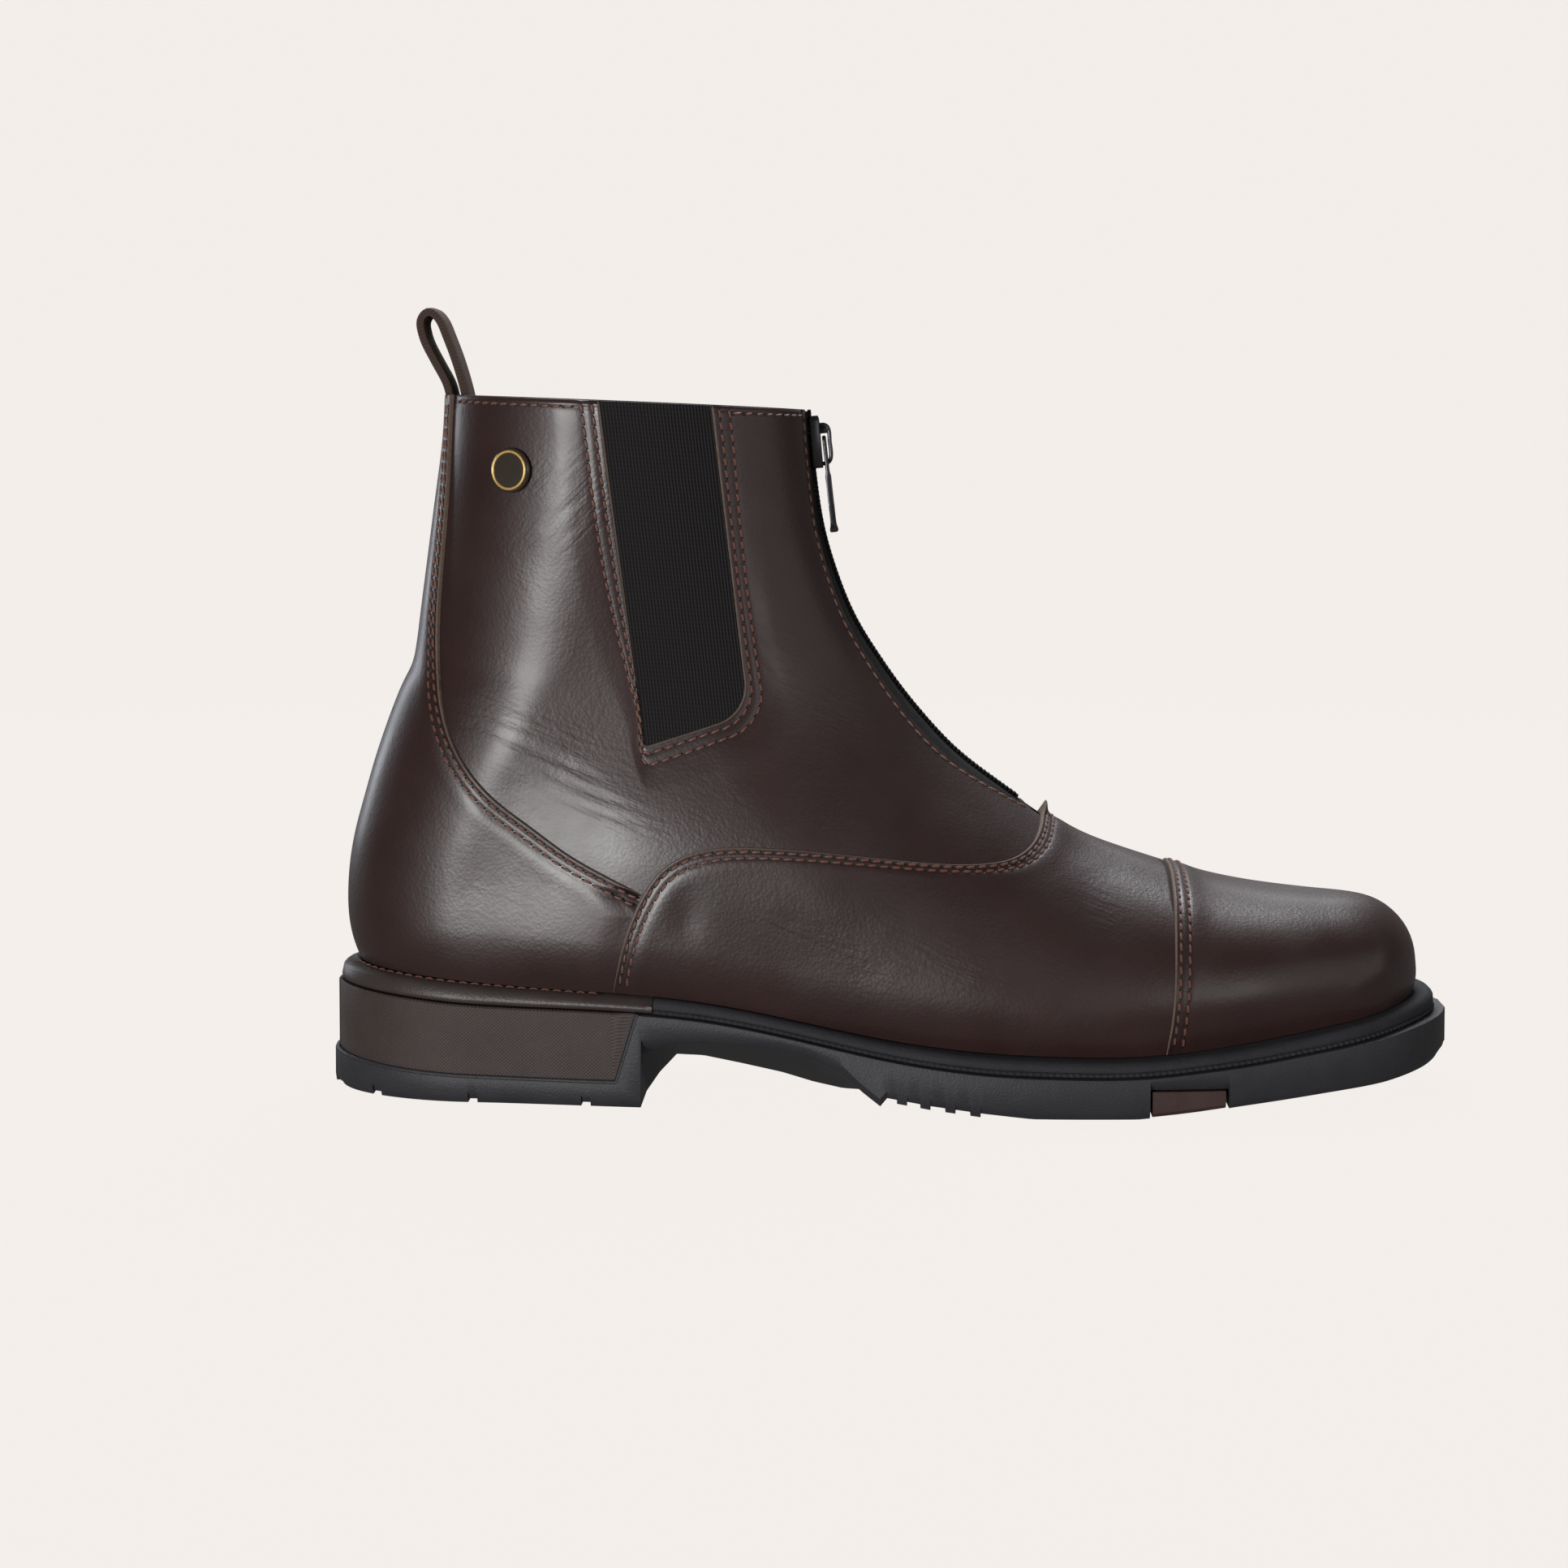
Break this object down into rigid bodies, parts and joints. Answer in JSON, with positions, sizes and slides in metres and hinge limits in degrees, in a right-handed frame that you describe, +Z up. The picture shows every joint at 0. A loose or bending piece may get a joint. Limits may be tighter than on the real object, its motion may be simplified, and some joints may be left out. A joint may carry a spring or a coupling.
{
  "type": "jodhpur boot",
  "caption": "Brown leather riding ankle boot with elastic side gores, front zip, toe cap, heel counter, back pull loop and a black rubber sole with a low heel.",
  "frame": {"origin": "on the floor, under the middle of the boot's box", "axes": "+X towards the toe, -Y towards the outer (little toe) side, +Z up"},
  "size_m": [0.298, 0.1022, 0.2084],
  "materials": {
    "brown_leather": "smooth dark brown leather, satin",
    "black_rubber": "matte moulded",
    "brown_rubber": "matte, finely textured",
    "red_brown_rubber": "matte",
    "black_elastic": "finely ribbed elastic",
    "zip_tape": "woven tape",
    "black_metal": "black, semi-gloss",
    "brown_webbing": "ribbed woven webbing",
    "insole_leather": "matte lining leather",
    "stud_metal": "dark enamel with a gold rim"
  },
  "bodies": {
    "boot": {"outsole": "black_rubber", "tread_insert": "red_brown_rubber", "welt": "black_rubber", "heel_block": "brown_rubber", "heel_rand": "brown_rubber", "insole": "insole_leather", "upper": "brown_leather", "vamp": "brown_leather", "toe_cap": "brown_leather", "counter": "brown_leather", "gore_outer": "black_elastic", "gore_inner": "black_elastic", "zip_tape": "zip_tape", "zip_chain": "black_metal", "zip_slider": "black_metal", "pull_loop": "brown_webbing", "side_stud": "stud_metal"},
    "zip_pull": {"zip_pull": "black_metal"}
  },
  "joints": [
    {"name": "pull_hinge", "type": "hinge", "parent": "boot", "child": "zip_pull", "pos_m": [-0.01742, -0.00074, 0.17353], "axis": [0, -1, 0], "range_deg": [0, 150]}
  ]
}
